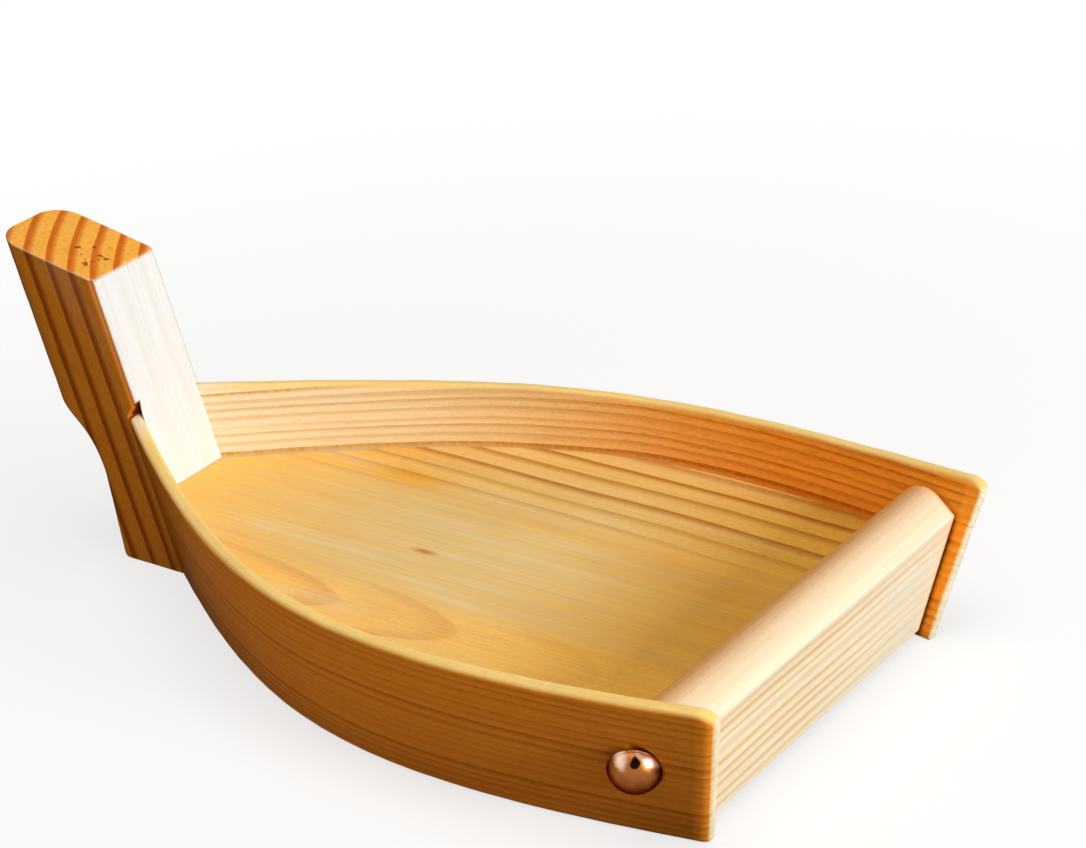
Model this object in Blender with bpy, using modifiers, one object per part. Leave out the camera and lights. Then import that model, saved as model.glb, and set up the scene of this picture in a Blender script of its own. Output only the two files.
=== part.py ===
"""Wooden sushi boat: a raked stem post, two bent and flared side planks, a raised floor board,
a thick raked transom and two copper dome nails. Metres, +X aft, +Y starboard, +Z up."""
from math import asin, atan, cos, pi, radians, sin, tan

import bmesh
import bpy
import numpy as np
from mathutils import Euler, Matrix, Vector

# Side planks: a strip bent in plan from the stem to the stern and leaning outwards.
PLANK_RUN = 0.250
PLANK_THICKNESS = 0.0042
STERN_BEAM = 0.1473
ENTRY_ANGLE = radians(36.0)
ENTRY_FULLNESS = 0.1137
TOE_IN_ANGLE = radians(9.2)
TOE_IN_FULLNESS = 0.1274
SHEER_BOW = 0.0518
SHEER_MIDDLE = 0.0464
SHEER_STERN = 0.0489
FLARE_STERN = radians(16.4)
STERN_END_RUN = 0.0112
STERN_CORNER_RADIUS = 0.0045
PLANK_EASE = 0.0009

# Stem post: a rectangular section with a round nose, leaning forwards.
STEM_WIDTH = 0.0290
STEM_DEPTH = 0.0387
STEM_HEIGHT = 0.0970
STEM_RAKE = radians(14.7)
STEM_TOP_SLOPE = radians(11.3)
NOSE_RADIUS = 0.0090
STEM_AFT_EASE = 0.0025
FOOT_LENGTH = 0.0292
SCOOP_TOP = 0.0530
SCOOP_SHELF_ANGLE = radians(64)
SCOOP_LEAN = radians(6)
SCOOP_RADIUS = 0.030
SLOT_DEPTH = 0.005
SLOT_RUN_OUT_ANGLE = radians(54)

# Floor board and transom.
FLOOR_HEIGHT = 0.0287
FLOOR_THICKNESS = 0.008
TRANSOM_RAKE = radians(12.5)
TRANSOM_THICKNESS = 0.020
TRANSOM_SLANT = 0.0394
TRANSOM_FOOT_GAP = 0.0024
TRANSOM_INSET = 0.0050
TRANSOM_FRONT_RADIUS = 0.012
TRANSOM_AFT_RADIUS = 0.004
TRANSOM_FOOT_RADIUS = 0.001

# Copper nails.
NAIL_HEIGHT = 0.0239
NAIL_FORWARD = 0.0042
NAIL_HEAD_DIAMETER = 0.0155
NAIL_HEAD_RISE = 0.0036
NAIL_SHANK_DIAMETER = 0.0028
NAIL_LENGTH = 0.018

# Glue and fitting gap between neighbouring pieces, and how finely curves are cut.
FIT_GAP = 0.0003
PLANK_STATIONS = 44
PLANK_ROWS = 3
ARC_STEPS = 6
TURN_STEPS = 24

# Room that every cutter has beyond the piece it cuts.
OVERCUT = 0.030

# A cubic curve runs three handle lengths per unit of its parameter at its ends.
STERN_RUN_PER_U = 3 * TOE_IN_FULLNESS
BOW_RUN_PER_U = 3 * ENTRY_FULLNESS * cos(ENTRY_ANGLE)

# Sheets that pass through the stem start this far ahead of the plank's own start.
SLAB_FIRST_U = -OVERCUT / 2 / BOW_RUN_PER_U

# Lean of the planks at the bow that lays their ends flush along the stem's raked sides.
FLARE_BOW = atan(tan(STEM_RAKE) * sin(ENTRY_ANGLE))

# How sharply the rake of the stern end fades out along the plank.
RAKE_SPREAD = 8

PORT = -1
STARBOARD = 1


def start_fresh():
    """Empty the scene and make one collection for the boat and one for its cutters."""
    for old in list(bpy.data.objects):
        bpy.data.objects.remove(old, do_unlink=True)
    for old in list(bpy.data.collections):
        bpy.data.collections.remove(old)
    boat = bpy.data.collections.new("sushi_boat")
    cutters = bpy.data.collections.new("cutters")
    for group in (boat, cutters):
        bpy.context.scene.collection.children.link(group)
    return boat, cutters


BOAT, CUTTERS = start_fresh()


def finish(name, colour, roughness, metallic=0.0):
    """A Principled material."""
    material = bpy.data.materials.new(name)
    material.use_nodes = True
    shader = material.node_tree.nodes["Principled BSDF"]
    shader.inputs["Base Color"].default_value = (*colour, 1.0)
    shader.inputs["Roughness"].default_value = roughness
    shader.inputs["Metallic"].default_value = metallic
    return material


def add_piece(name, mesh, material):
    """A piece of the boat."""
    piece = bpy.data.objects.new(name, mesh)
    mesh.materials.append(material)
    BOAT.objects.link(piece)
    return piece


def add_cutter(name, mesh):
    """A solid that only cuts others."""
    cutter = bpy.data.objects.new(name, mesh)
    cutter.hide_render = True
    cutter.display_type = "WIRE"
    CUTTERS.objects.link(cutter)
    return cutter


def cut(piece, cutter):
    """Take the cutter's volume away from the piece."""
    boolean = piece.modifiers.new(cutter.name, "BOOLEAN")
    boolean.operation = "DIFFERENCE"
    boolean.solver = "EXACT"
    boolean.object = cutter


def block_mesh(name, size):
    """A box of the given size centred on its own origin."""
    shape = bmesh.new()
    bmesh.ops.create_cube(shape, size=1.0, matrix=Matrix.Diagonal((*size, 1.0)))
    mesh = bpy.data.meshes.new(name)
    shape.to_mesh(mesh)
    shape.free()
    return mesh


def outline_mesh(name, points, half_thickness):
    """A flat outline in XY, thickened equally up and down along Z."""
    curve = bpy.data.curves.new(name, "CURVE")
    curve.dimensions = "2D"
    curve.fill_mode = "BOTH"
    curve.extrude = half_thickness
    spline = curve.splines.new("POLY")
    spline.points.add(len(points) - 1)
    for target, (x, y) in zip(spline.points, points):
        target.co = (x, y, 0.0, 1.0)
    spline.use_cyclic_u = True
    carrier = bpy.data.objects.new(name, curve)
    CUTTERS.objects.link(carrier)
    graph = bpy.context.evaluated_depsgraph_get()
    mesh = bpy.data.meshes.new_from_object(carrier.evaluated_get(graph))
    bpy.data.objects.remove(carrier, do_unlink=True)
    shape = bmesh.new()
    shape.from_mesh(mesh)
    bmesh.ops.remove_doubles(shape, verts=shape.verts, dist=1e-6)
    bmesh.ops.recalc_face_normals(shape, faces=shape.faces)
    shape.to_mesh(mesh)
    shape.free()
    return mesh


def rounded_outline(corners):
    """Points of a polygon whose corners are (x, y, radius), each one rounded by its own arc."""
    points = []
    for index, (x, y, radius) in enumerate(corners):
        corner = Vector((x, y))
        before = Vector(corners[index - 1][:2]) - corner
        after = Vector(corners[(index + 1) % len(corners)][:2]) - corner
        before.normalize()
        after.normalize()
        half_angle = before.angle(after) / 2
        middle = (before + after).normalized()
        centre = corner + middle * (radius / sin(half_angle))
        sweep = pi - 2 * half_angle
        turn = sweep if before.cross(after) < 0 else -sweep
        start = corner + before * (radius / tan(half_angle)) - centre
        for step in range(ARC_STEPS + 1):
            arm = start.copy()
            arm.rotate(Matrix.Rotation(turn * step / ARC_STEPS, 2))
            points.append(centre + arm)
    return points


def plank_station(u):
    """Top outer arris in plan at u (0 in the stem's slot, 1 at the stern) and the outward unit normal
    there: a cubic curve from the stem's side, with its handles along the entry angle and the toe-in."""
    start = np.array([-SLOT_DEPTH, STEM_WIDTH / 2])
    end = np.array([PLANK_RUN, STERN_BEAM / 2])
    leave = start + ENTRY_FULLNESS * np.array([cos(ENTRY_ANGLE), sin(ENTRY_ANGLE)])
    arrive = end - TOE_IN_FULLNESS * np.array([cos(TOE_IN_ANGLE), -sin(TOE_IN_ANGLE)])
    rest = 1 - u
    place = rest**3 * start + 3 * rest**2 * u * leave + 3 * rest * u**2 * arrive + u**3 * end
    along = 3 * rest**2 * (leave - start) + 6 * rest * u * (arrive - leave) + 3 * u**2 * (end - arrive)
    along = along / np.linalg.norm(along)
    return place, np.array([-along[1], along[0]])


def sheer_height(x):
    """Height of the top outer arris: the parabola through the bow, middle and stern heights."""
    share = x / PLANK_RUN
    rise = SHEER_STERN - SHEER_BOW
    dip = SHEER_BOW + SHEER_STERN - 2 * SHEER_MIDDLE
    return SHEER_BOW + rise * share - 2 * dip * share * (1 - share)


def plank_point(u, height, inset, side):
    """A point at the given height on the plank's outer face, moved inwards by the inset along the
    face's normal. The face leans out by the flare, which grows evenly from bow to stern."""
    place, outward = plank_station(u)
    flare = FLARE_BOW + (FLARE_STERN - FLARE_BOW) * place[0] / PLANK_RUN
    drop = sheer_height(place[0]) - height
    spot = place - outward * (drop * tan(flare) + inset * cos(flare))
    return Vector((spot[0], side * spot[1], height + inset * sin(flare)))


def plank_inward(u, side):
    """Unit normal of the plank's face, pointing into the boat."""
    place, outward = plank_station(u)
    flare = FLARE_BOW + (FLARE_STERN - FLARE_BOW) * place[0] / PLANK_RUN
    return Vector((-cos(flare) * outward[0], -side * cos(flare) * outward[1], sin(flare)))


def plank_u(x, height):
    """The u at which the plank's outer face passes x at the given height, by halving."""
    low, high = 0.0, 1.2
    for _ in range(50):
        middle = (low + high) / 2
        if plank_point(middle, height, 0.0, STARBOARD).x < x:
            low = middle
        else:
            high = middle
    return (low + high) / 2


def plank_columns(stern_cut):
    """The slab's stations along u, each with how far its top is lowered. With stern_cut the last ones
    crowd into a quarter round that eases the top corner of the plank's stern end."""
    u_first = SLAB_FIRST_U
    if not stern_cut:
        u_last = 1.0 + OVERCUT / STERN_RUN_PER_U
        return [(u, 0.0) for u in np.linspace(u_first, u_last, PLANK_STATIONS)]
    u_round = 1.0 - STERN_CORNER_RADIUS / STERN_RUN_PER_U
    columns = [(u, 0.0) for u in np.linspace(u_first, u_round, PLANK_STATIONS)]
    for step in range(1, ARC_STEPS + 1):
        turn = pi / 2 * step / ARC_STEPS
        columns.append((u_round + (1.0 - u_round) * sin(turn), STERN_CORNER_RADIUS * (1 - cos(turn))))
    return columns


def plank_sheet(name, side, inset, top_extra, stern_cut):
    """An open sheet parallel to the plank's outer face, inset from it, from inside the stem to the
    stern and from below the base to top_extra above the sheer. With stern_cut it ends on the raked
    stern line with a rounded top corner; without, it runs past the stern."""
    low = -OVERCUT / 4
    shape = bmesh.new()
    columns = []
    for u, lowered in plank_columns(stern_cut):
        top = sheer_height(plank_station(u)[0][0]) + top_extra - lowered
        column = []
        for row in range(PLANK_ROWS + 1):
            height = low + (top - low) * row / PLANK_ROWS
            lean = STERN_END_RUN / STERN_RUN_PER_U * (1 - height / SHEER_STERN)
            near_stern = max(u, 0.0) ** RAKE_SPREAD
            shifted = u - lean * near_stern if stern_cut else u
            column.append(shape.verts.new(plank_point(shifted, height, inset, side)))
        columns.append(column)
    for fore, aft in zip(columns, columns[1:]):
        for row in range(PLANK_ROWS):
            corners = (fore[row], fore[row + 1], aft[row + 1], aft[row])
            shape.faces.new(corners if side == STARBOARD else corners[::-1])
    mesh = bpy.data.meshes.new(name)
    shape.to_mesh(mesh)
    shape.free()
    return mesh


def thicken(piece, thickness):
    """Give a sheet its thickness, into the boat where positive and outwards where negative."""
    solidify = piece.modifiers.new("thickness", "SOLIDIFY")
    solidify.thickness = thickness
    solidify.offset = -1.0
    solidify.use_even_offset = True


def ease(piece, width):
    """Sand the long arrises round."""
    bevel = piece.modifiers.new("ease", "BEVEL")
    bevel.width = width
    bevel.segments = 2
    bevel.limit_method = "ANGLE"
    bevel.angle_limit = radians(50)


def stem_face_block(name, ahead):
    """A block that fills the space ahead of a plane parallel to the stem's aft face."""
    size = STEM_DEPTH + 2 * OVERCUT
    tall = 2 * (STEM_HEIGHT + OVERCUT)
    cutter = add_cutter(name, block_mesh(name, (size, STEM_WIDTH + 4 * OVERCUT, tall)))
    normal = Vector((cos(STEM_RAKE), 0.0, sin(STEM_RAKE)))
    cutter.rotation_euler = Euler((0.0, -STEM_RAKE, 0.0))
    cutter.location = Vector((0.0, 0.0, SHEER_BOW)) - normal * (ahead + size / 2)
    return cutter


def base_block():
    """The table below the boat: everything lower than the base is planed away."""
    size = (2 * PLANK_RUN + STEM_HEIGHT, STERN_BEAM + 4 * OVERCUT, 2 * (STEM_HEIGHT + OVERCUT))
    cutter = add_cutter("base_plane", block_mesh("base_plane", size))
    cutter.location = (PLANK_RUN / 2, 0.0, -size[2] / 2)
    return cutter


def transom_place(height):
    """X of the transom's aft face at a height: it leans aft, set in from the planks' stern ends."""
    stern_foot = plank_point(1.0 - STERN_END_RUN / STERN_RUN_PER_U, 0.0, 0.0, STARBOARD).x
    return stern_foot - TRANSOM_INSET + height * tan(TRANSOM_RAKE)


def build_plank(name, side, wood, base, bow):
    """One bent plank, planed flat below and cut at the stem's slot."""
    plank = add_piece(name, plank_sheet(name, side, 0.0, 0.0, True), wood)
    thicken(plank, PLANK_THICKNESS)
    cut(plank, base)
    cut(plank, bow)
    ease(plank, PLANK_EASE)
    return plank


def slot_top_block():
    """A block over the slots: their upper ends run out upwards and aft from the planks' forward tips."""
    size = 2 * (STEM_HEIGHT + OVERCUT)
    cutter = add_cutter("slot_top", block_mesh("slot_top", (size, STEM_WIDTH + 4 * OVERCUT, size)))
    normal = Vector((-sin(SLOT_RUN_OUT_ANGLE), 0.0, cos(SLOT_RUN_OUT_ANGLE)))
    cutter.rotation_euler = Euler((0.0, -SLOT_RUN_OUT_ANGLE, 0.0))
    tip = Vector((-SLOT_DEPTH, 0.0, sheer_height(-SLOT_DEPTH) + PLANK_THICKNESS * sin(FLARE_BOW) + FIT_GAP))
    cutter.location = tip + normal * size / 2
    return cutter


def build_slot(name, side):
    """The slot for a plank end, open on the stem's side and aft face: its bed is the plank's inner face."""
    slot = add_cutter(name, plank_sheet(name, side, PLANK_THICKNESS + FIT_GAP, OVERCUT, False))
    thicken(slot, -STEM_WIDTH)
    return slot


def build_outside(name, side):
    """Everything outside the plank's inner face, with the fitting gap: trims what fits between planks."""
    outside = add_cutter(name, plank_sheet(name, side, PLANK_THICKNESS + FIT_GAP, OVERCUT, False))
    thicken(outside, -STERN_BEAM)
    return outside


def build_scoop():
    """The sawn hollow over the foot, seen from the side: a nearly upright line up from the foot's front
    and a sloping shelf in from the stem's front, joined by an arc."""
    lean = tan(STEM_RAKE)
    foot_front = SHEER_BOW * lean - FOOT_LENGTH
    shelf_front = (SHEER_BOW - SCOOP_TOP) * lean - STEM_DEPTH
    shelf_rise = 1 / tan(SCOOP_SHELF_ANGLE)
    upright = tan(SCOOP_LEAN)
    corner_height = (SCOOP_TOP - (foot_front - shelf_front) * shelf_rise) / (1 - upright * shelf_rise)
    profile = rounded_outline([
        (foot_front + OVERCUT * upright, -OVERCUT, FIT_GAP),
        (foot_front - corner_height * upright, corner_height, SCOOP_RADIUS),
        (shelf_front - OVERCUT, SCOOP_TOP + OVERCUT * shelf_rise, FIT_GAP),
        (shelf_front - OVERCUT, -OVERCUT, FIT_GAP),
    ])
    mesh = outline_mesh("stem_scoop", profile, STEM_WIDTH)
    mesh.transform(Matrix.Rotation(pi / 2, 4, "X"))
    return add_cutter("stem_scoop", mesh)


def build_stem(wood, base, slots):
    """The stem post: a rounded section sheared forwards, cut square-ish on top, scooped at the foot."""
    half = STEM_WIDTH / 2
    lean = tan(STEM_RAKE)
    section = rounded_outline([
        (-STEM_DEPTH, -half, NOSE_RADIUS),
        (0.0, -half, STEM_AFT_EASE),
        (0.0, half, STEM_AFT_EASE),
        (-STEM_DEPTH, half, NOSE_RADIUS),
    ])
    reach = STEM_HEIGHT + OVERCUT
    mesh = outline_mesh("stem_post", section, reach)
    mesh.transform(Matrix(((1, 0, -lean, SHEER_BOW * lean), (0, 1, 0, 0), (0, 0, 1, 0), (0, 0, 0, 1))))
    stem = add_piece("stem_post", mesh, wood)

    top_size = STEM_DEPTH + 2 * OVERCUT
    top = add_cutter("stem_top_cut", block_mesh("stem_top_cut", (2 * top_size, 2 * STEM_WIDTH, top_size)))
    top.rotation_euler = Euler((0.0, STEM_TOP_SLOPE, 0.0))
    aft_top = Vector(((SHEER_BOW - STEM_HEIGHT) * lean, 0.0, STEM_HEIGHT))
    top.location = aft_top + Vector((sin(STEM_TOP_SLOPE), 0.0, cos(STEM_TOP_SLOPE))) * top_size / 2

    scoop = build_scoop()
    for cutter in (base, top, scoop, *slots):
        cut(stem, cutter)
    return stem


def build_floor(wood, outsides):
    """The raised floor: a slab trimmed to the planks, the stem's aft face and the transom's front."""
    top_x = transom_place(FLOOR_HEIGHT) - TRANSOM_THICKNESS / cos(TRANSOM_RAKE)
    first = -STEM_DEPTH / 2
    length = top_x + OVERCUT / 2 - first
    mesh = block_mesh("floor_board", (length, STERN_BEAM + OVERCUT, FLOOR_THICKNESS))
    mesh.transform(Matrix.Translation((first + length / 2, 0.0, FLOOR_HEIGHT - FLOOR_THICKNESS / 2)))
    floor = add_piece("floor_board", mesh, wood)

    size = TRANSOM_THICKNESS + OVERCUT
    stern_mesh = block_mesh("floor_stern_cut", (size, STERN_BEAM + 4 * OVERCUT, 4 * OVERCUT))
    stern = add_cutter("floor_stern_cut", stern_mesh)
    stern.rotation_euler = Euler((0.0, TRANSOM_RAKE, 0.0))
    front = Vector((top_x, 0.0, FLOOR_HEIGHT))
    stern.location = front + Vector((cos(TRANSOM_RAKE), 0.0, -sin(TRANSOM_RAKE))) * (size / 2 - FIT_GAP)
    for cutter in (*outsides, stem_face_block("floor_bow_cut", -FIT_GAP), stern):
        cut(floor, cutter)
    return floor


def build_transom(wood, outsides):
    """The transom: a thick board with a big round along its front top arris, leaning aft."""
    profile = rounded_outline([
        (-TRANSOM_THICKNESS, 0.0, TRANSOM_FOOT_RADIUS),
        (0.0, 0.0, TRANSOM_FOOT_RADIUS),
        (0.0, TRANSOM_SLANT, TRANSOM_AFT_RADIUS),
        (-TRANSOM_THICKNESS, TRANSOM_SLANT, TRANSOM_FRONT_RADIUS),
    ])
    mesh = outline_mesh("transom", profile, STERN_BEAM / 2 + OVERCUT / 2)
    stand = Matrix.Rotation(TRANSOM_RAKE, 4, "Y") @ Matrix.Rotation(pi / 2, 4, "X")
    foot = Matrix.Translation((transom_place(TRANSOM_FOOT_GAP), 0.0, TRANSOM_FOOT_GAP))
    mesh.transform(foot @ stand)
    transom = add_piece("transom", mesh, wood)
    for cutter in outsides:
        cut(transom, cutter)
    return transom


def nail_frame(side):
    """Where the nail enters the plank, with its axis pointing into the boat."""
    x = transom_place(NAIL_HEIGHT) - TRANSOM_THICKNESS / cos(TRANSOM_RAKE) / 2 - NAIL_FORWARD
    u = plank_u(x, NAIL_HEIGHT)
    inward = plank_inward(u, side)
    turn = (-inward).to_track_quat("Z", "Y").to_matrix().to_4x4()
    return Matrix.Translation(plank_point(u, NAIL_HEIGHT, 0.0, side)) @ turn


def turned_mesh(name, profile):
    """A closed body turned about Z from a profile that runs from the axis down to the axis again."""
    shape = bmesh.new()
    line = [shape.verts.new((radius, 0.0, height)) for radius, height in profile]
    for upper, lower in zip(line, line[1:]):
        shape.edges.new((upper, lower))
    bmesh.ops.spin(shape, geom=shape.verts[:] + shape.edges[:], cent=(0, 0, 0), axis=(0, 0, 1),
                   angle=2 * pi, steps=TURN_STEPS, use_merge=True)
    bmesh.ops.remove_doubles(shape, verts=shape.verts, dist=1e-6)
    bmesh.ops.recalc_face_normals(shape, faces=shape.faces)
    mesh = bpy.data.meshes.new(name)
    shape.to_mesh(mesh)
    shape.free()
    mesh.shade_smooth()
    mesh.set_sharp_from_angle(angle=radians(40))
    return mesh


def build_nail(name, side, copper):
    """A dome-head nail: a cap of a sphere over a shank with a blunt point."""
    head = NAIL_HEAD_DIAMETER / 2
    shank = NAIL_SHANK_DIAMETER / 2
    sphere = (head**2 + NAIL_HEAD_RISE**2) / (2 * NAIL_HEAD_RISE)
    spread = asin(head / sphere)
    seat = FIT_GAP
    profile = []
    for step in range(ARC_STEPS + 1):
        angle = spread * step / ARC_STEPS
        profile.append((sphere * sin(angle), seat + NAIL_HEAD_RISE - sphere * (1 - cos(angle))))
    profile += [(shank, seat), (shank, -NAIL_LENGTH + shank), (0.0, -NAIL_LENGTH)]
    nail = add_piece(name, turned_mesh(name, profile), copper)
    nail.matrix_world = nail_frame(side)
    return nail


def build_nail_hole(name, side):
    """The hole that the shank fills, through the plank and into the transom's end grain."""
    shape = bmesh.new()
    radius = NAIL_SHANK_DIAMETER / 2 + FIT_GAP
    depth = NAIL_LENGTH + FIT_GAP
    bmesh.ops.create_cone(shape, cap_ends=True, segments=TURN_STEPS, radius1=radius, radius2=radius,
                          depth=depth + OVERCUT, matrix=Matrix.Translation((0, 0, (OVERCUT - depth) / 2)))
    mesh = bpy.data.meshes.new(name)
    shape.to_mesh(mesh)
    shape.free()
    hole = add_cutter(name, mesh)
    hole.matrix_world = nail_frame(side)
    return hole


def centre_on_base(pieces):
    """Carry every piece and cutter on one empty that puts the origin at the bottom centre of the box."""
    bpy.context.view_layer.update()
    graph = bpy.context.evaluated_depsgraph_get()
    corners = []
    for piece in pieces:
        solid = piece.evaluated_get(graph)
        corners += [solid.matrix_world @ Vector(corner) for corner in solid.bound_box]
    low = Vector([min(corner[axis] for corner in corners) for axis in range(3)])
    high = Vector([max(corner[axis] for corner in corners) for axis in range(3)])
    hull = bpy.data.objects.new("hull", None)
    BOAT.objects.link(hull)
    for carried in list(BOAT.objects) + list(CUTTERS.objects):
        if carried is not hull:
            carried.parent = hull
    hull.location = (-(low.x + high.x) / 2, -(low.y + high.y) / 2, -low.z)
    bpy.context.view_layer.update()


def build_boat():
    """Assemble the boat: stem, planks in its slots, floor, transom, nails."""
    pine = finish("pine", (0.80, 0.52, 0.22), 0.45)
    stem_pine = finish("stem_pine", (0.72, 0.44, 0.18), 0.5)
    copper = finish("copper", (0.72, 0.38, 0.22), 0.28, 1.0)

    base = base_block()
    bow = stem_face_block("plank_bow_cut", SLOT_DEPTH - FIT_GAP)
    slot_end = stem_face_block("slot_end", SLOT_DEPTH)
    slots = [build_slot("port_slot", PORT), build_slot("starboard_slot", STARBOARD)]
    slot_top = slot_top_block()
    for slot in slots:
        cut(slot, slot_end)
        cut(slot, slot_top)
    outsides = [build_outside("port_outside", PORT), build_outside("starboard_outside", STARBOARD)]

    stem = build_stem(stem_pine, base, slots)
    port = build_plank("port_plank", PORT, pine, base, bow)
    starboard = build_plank("starboard_plank", STARBOARD, pine, base, bow)
    floor = build_floor(pine, outsides)
    transom = build_transom(pine, outsides)
    pieces = [stem, port, starboard, floor, transom]
    for name, side, plank in (("port", PORT, port), ("starboard", STARBOARD, starboard)):
        hole = build_nail_hole(name + "_nail_hole", side)
        cut(plank, hole)
        cut(transom, hole)
        pieces.append(build_nail(name + "_stern_nail", side, copper))
    centre_on_base(pieces)


build_boat()
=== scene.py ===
"""The looks of a wooden sushi boat: two bent planks let into a raked stem post, a raised floor board,
a thick raked transom and two copper dome nails. Metres; +X aft, +Y starboard, +Z up."""
from math import atan, cos, pi, radians, sin, tan

import bpy
import numpy as np
from mathutils import Matrix, Vector


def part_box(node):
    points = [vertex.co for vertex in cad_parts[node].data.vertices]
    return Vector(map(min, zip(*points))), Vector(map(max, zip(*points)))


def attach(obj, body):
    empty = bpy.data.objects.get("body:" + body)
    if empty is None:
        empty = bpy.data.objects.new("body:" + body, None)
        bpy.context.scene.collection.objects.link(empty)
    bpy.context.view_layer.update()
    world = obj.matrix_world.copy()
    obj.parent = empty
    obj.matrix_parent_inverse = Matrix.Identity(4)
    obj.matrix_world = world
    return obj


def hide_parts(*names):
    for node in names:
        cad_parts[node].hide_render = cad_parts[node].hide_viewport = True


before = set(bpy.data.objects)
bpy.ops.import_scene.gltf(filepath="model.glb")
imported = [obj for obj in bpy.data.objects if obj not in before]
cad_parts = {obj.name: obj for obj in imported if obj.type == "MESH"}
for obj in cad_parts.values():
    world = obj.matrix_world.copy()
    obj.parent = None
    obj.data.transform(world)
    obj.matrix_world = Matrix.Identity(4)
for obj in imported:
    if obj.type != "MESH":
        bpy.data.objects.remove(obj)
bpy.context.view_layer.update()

# The side planks.
# Each is one thin strip of straight-grained softwood, steamed, bent in plan from the stem to the stern
# and leaning outwards. Its arrises are sanded round and its stern end is left as the saw cut it.
PLANK_RUN = 0.250
PLANK_THICKNESS = 0.0042
STERN_BEAM = 0.1473
ENTRY_ANGLE = radians(36.0)
ENTRY_FULLNESS = 0.1137
TOE_IN_ANGLE = radians(9.2)
TOE_IN_FULLNESS = 0.1274
SHEER_BOW = 0.0518
SHEER_MIDDLE = 0.0464
SHEER_STERN = 0.0489
FLARE_STERN = radians(16.4)
STERN_END_RUN = 0.0112
STERN_CORNER_RADIUS = 0.0045
STEM_WIDTH = 0.0290
STEM_RAKE = radians(14.7)
SLOT_DEPTH = 0.005
GLUE_GAP = 0.0003
FLARE_BOW = atan(tan(STEM_RAKE) * sin(ENTRY_ANGLE))
RAKE = tan(STEM_RAKE)

# The hull is worked out with its origin below the stem's aft face at the planks' height.
HULL_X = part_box("stem_post")[1][0] - SHEER_BOW * RAKE


def plan_curve(u):
    """Top outer arris in plan and its outward normal, for u from 0 at the stem to 1 at the stern: a
    cubic with its first handle along the entry angle and its last along the toe-in."""
    first = np.array([-SLOT_DEPTH, STEM_WIDTH / 2])
    last = np.array([PLANK_RUN, STERN_BEAM / 2])
    leave = first + ENTRY_FULLNESS * np.array([cos(ENTRY_ANGLE), sin(ENTRY_ANGLE)])
    arrive = last - TOE_IN_FULLNESS * np.array([cos(TOE_IN_ANGLE), -sin(TOE_IN_ANGLE)])
    u = np.asarray(u, float)[..., None]
    rest = 1 - u
    place = rest**3 * first + 3 * rest**2 * u * leave + 3 * rest * u**2 * arrive + u**3 * last
    along = rest**2 * (leave - first) + 2 * rest * u * (arrive - leave) + u**2 * (last - arrive)
    along = along / np.linalg.norm(along, axis=-1, keepdims=True)
    return place[..., 0], place[..., 1], -along[..., 1], along[..., 0]


def sheer(x):
    """Height of the top arris: the parabola through the bow, middle and stern heights."""
    share = x / PLANK_RUN
    dip = SHEER_BOW + SHEER_STERN - 2 * SHEER_MIDDLE
    return SHEER_BOW + (SHEER_STERN - SHEER_BOW) * share - 2 * dip * share * (1 - share)


def flare_at(x):
    """The angle by which the planks lean out at x. It grows evenly from bow to stern."""
    return FLARE_BOW + (FLARE_STERN - FLARE_BOW) * x / PLANK_RUN


def plank_point(u, height, inset):
    """A point at a height on the starboard plank's outer face, which leans out by the flare, moved
    inwards by the inset along the face's normal."""
    x, y, out_x, out_y = plan_curve(u)
    flare = flare_at(x)
    back = (sheer(x) - height) * np.tan(flare) + inset * np.cos(flare)
    return x - out_x * back, y - out_y * back, height + inset * np.sin(flare)


def plank_u(x, z, inset):
    """The u where the plank at this inset passes x at height z, by Newton steps from an even guess."""
    x, z, inset = np.broadcast_arrays(np.asarray(x, float), z, inset)
    u = (x + SLOT_DEPTH) / (PLANK_RUN + SLOT_DEPTH)
    step = 1e-4

    def ahead(u):
        flare = flare_at(plan_curve(u)[0])
        return plank_point(u, z - inset * np.sin(flare), inset)[0] - x

    for _ in range(8):
        miss = ahead(u)
        u = u - miss * step / (ahead(u + step) - miss)
    return u


def inner_width(x, z, gap):
    """Half the clear width between the planks' inner faces at x and height z, less a gap at each."""
    inset = PLANK_THICKNESS + gap
    u = plank_u(x, z, inset)
    return plank_point(u, z - inset * np.sin(flare_at(plan_curve(u)[0])), inset)[1]


MERGE_DIGITS = 7
SHARP_ANGLE = radians(40)


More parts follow.
